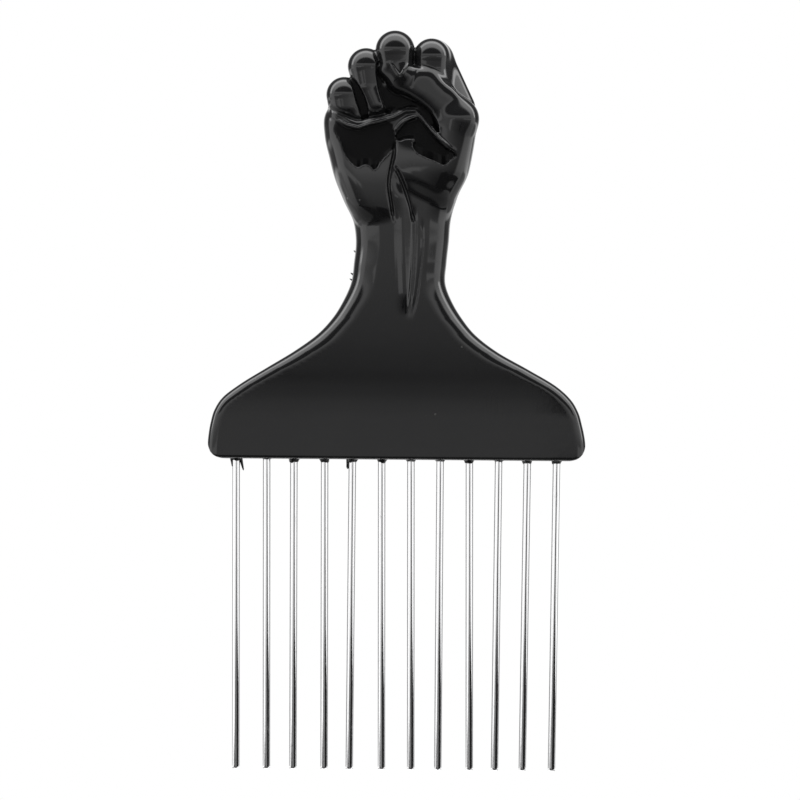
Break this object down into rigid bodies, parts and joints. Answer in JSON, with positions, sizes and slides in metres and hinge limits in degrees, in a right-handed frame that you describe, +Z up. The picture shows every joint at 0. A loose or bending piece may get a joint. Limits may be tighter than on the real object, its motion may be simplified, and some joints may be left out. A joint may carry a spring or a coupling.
{
  "type": "hair pick",
  "caption": "Hair pick with a raised-fist handle of glossy black plastic in two halves, which hold a row of long straight steel tines for lifting thick curly hair.",
  "frame": {"origin": "middle of the wrist, on the seam between the two halves of the handle, where a hand holds the pick", "axes": "+Z up the handle towards the knuckles, with the tines pointing down; the palm faces -Y; +X towards the thumb"},
  "size_m": [0.0896, 0.0223, 0.1752],
  "materials": {
    "handle": "glossy black moulded plastic",
    "tines": "bright polished steel wire"
  },
  "bodies": {
    "root": {"handle_front": "handle", "handle_rear": "handle", "tine_01": "tines", "tine_02": "tines", "tine_03": "tines", "tine_04": "tines", "tine_05": "tines", "tine_06": "tines", "tine_07": "tines", "tine_08": "tines", "tine_09": "tines", "tine_10": "tines", "tine_11": "tines", "tine_12": "tines"}
  },
  "joints": []
}
